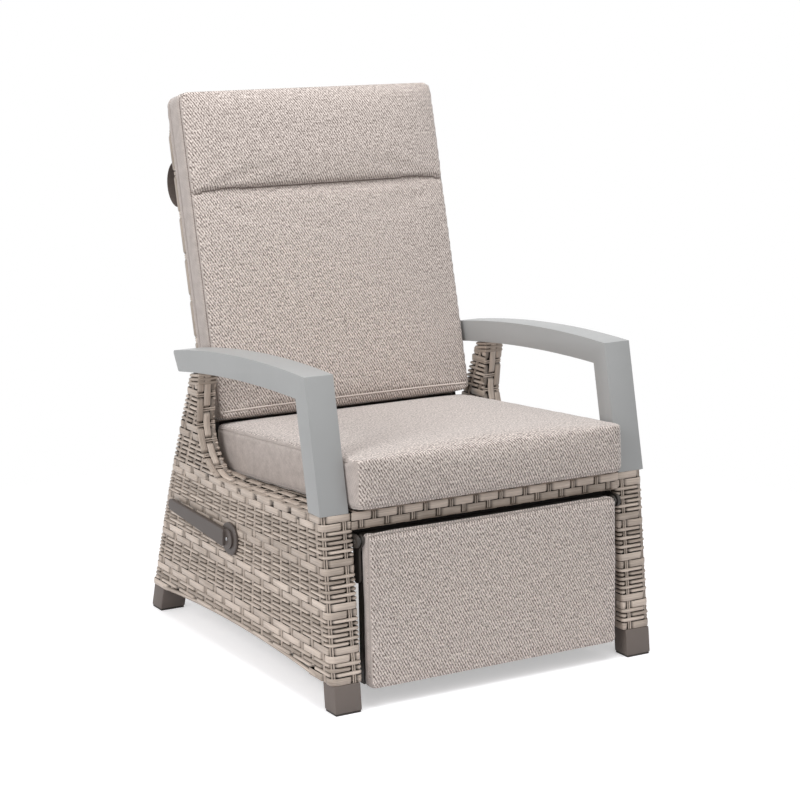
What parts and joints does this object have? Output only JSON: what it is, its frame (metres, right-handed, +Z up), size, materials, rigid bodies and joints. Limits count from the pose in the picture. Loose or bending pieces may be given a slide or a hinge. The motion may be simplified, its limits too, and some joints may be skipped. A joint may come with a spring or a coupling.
{
  "type": "reclining garden armchair",
  "caption": "Woven garden armchair whose back leans back on side hinges and swings out a padded footrest, with a release lever, metal arms and loose cushions.",
  "frame": {"origin": "middle of the floor area under the chair, on the floor", "axes": "+Z up, the chair faces -Y, +X to the sitter's left; the lever is on the -X side"},
  "size_m": [0.7246, 0.8013, 1.0604],
  "materials": {
    "wicker": "woven flat and half-round synthetic strands, taupe",
    "arm_paint": "satin light-grey powder coat",
    "frame_paint": "satin dark-brown powder coat",
    "foot": "matt brown moulded feet",
    "glide": "dark glide pads",
    "cushion": "greige melange twill",
    "strap": "grey-brown webbing",
    "steel": "zinc-plated steel",
    "nylon": "white nylon",
    "lever": "dark taupe moulding",
    "black_paint": "black enamel",
    "chrome": "polished rod",
    "sheet": "dark backing sheet"
  },
  "bodies": {
    "base": {"side_weave_left": "wicker", "side_weave_right": "wicker", "side_frame_left": "frame_paint", "side_frame_right": "frame_paint", "arm_left": "arm_paint", "arm_right": "arm_paint", "foot_front_left": "foot", "foot_front_right": "foot", "foot_rear_left": "foot", "foot_rear_right": "foot", "glide_pads": "glide", "arm_bolts": "steel", "seat_frame": "frame_paint", "seat_deck": "wicker", "front_rail_weave": "wicker", "rear_crossbar": "frame_paint", "rear_crossbar_weave": "wicker", "frame_bolts": "steel", "hinge_plate_left": "frame_paint", "hinge_plate_right": "frame_paint", "hinge_plate_bolts": "steel", "pivot_bolts": "steel", "seat_cushion": "cushion", "gas_cylinder": "black_paint", "gas_hangers": "frame_paint", "shaft_hanger": "frame_paint", "lever_rosette": "lever", "footrest_bracket_left": "frame_paint", "footrest_bracket_right": "frame_paint", "footrest_pins": "steel"},
    "backrest": {"back_frame": "frame_paint", "back_weave": "wicker", "back_cushion": "cushion", "cushion_straps": "strap", "crank_plate_left": "frame_paint", "crank_plate_right": "frame_paint", "crank_rod": "steel", "crank_bolts": "steel", "pivot_bushes": "nylon"},
    "footrest": {"footrest_frame": "frame_paint", "footrest_sheet": "sheet", "footrest_pad": "cushion", "footrest_lug_left": "frame_paint", "footrest_lug_right": "frame_paint", "link_bracket_left": "frame_paint", "link_bracket_right": "frame_paint", "link_pins": "steel"},
    "link_bars": {"link_bar_left": "frame_paint", "link_bar_right": "frame_paint"},
    "gas_rod": {"gas_rod": "chrome", "gas_rod_eye": "steel"},
    "lever": {"lever_handle": "lever", "lever_shaft": "steel", "lever_finger": "steel", "lever_screw": "steel"},
    "release_pin": {"release_pin": "steel"}
  },
  "joints": [
    {"name": "recline_hinge", "type": "hinge", "parent": "base", "child": "backrest", "pos_m": [0, 0.206, 0.33], "axis": [-1, 0, 0], "range_deg": [0, 45]},
    {"name": "footrest_hinge", "type": "hinge", "parent": "base", "child": "footrest", "pos_m": [0, -0.365, 0.308], "axis": [-1, 0, 0], "range_deg": [0, 80]},
    {"name": "link_hinge", "type": "hinge", "parent": "backrest", "child": "link_bars", "pos_m": [0, 0.2481, 0.22837], "axis": [-1, 0, 0], "range_deg": [-45, 0]},
    {"name": "gas_rod_slide", "type": "slide", "parent": "base", "child": "gas_rod", "axis": [0, -1, 0], "range_m": [0, 0.0842]},
    {"name": "lever_hinge", "type": "hinge", "parent": "base", "child": "lever", "pos_m": [0, -0.002, 0.237], "axis": [1, 0, 0], "range_deg": [0, 20]},
    {"name": "release_pin_slide", "type": "slide", "parent": "base", "child": "release_pin", "axis": [0, 1, 0], "range_m": [0, 0.0038]}
  ],
  "couplings": [
    {"joint": "footrest_hinge", "follows": "recline_hinge", "ratio": 1.7778},
    {"joint": "link_hinge", "follows": "recline_hinge", "ratio": -1},
    {"joint": "gas_rod_slide", "follows": "recline_hinge", "m_per_rad": 0.10719},
    {"joint": "release_pin_slide", "follows": "lever_hinge", "m_per_rad": 0.010886}
  ]
}
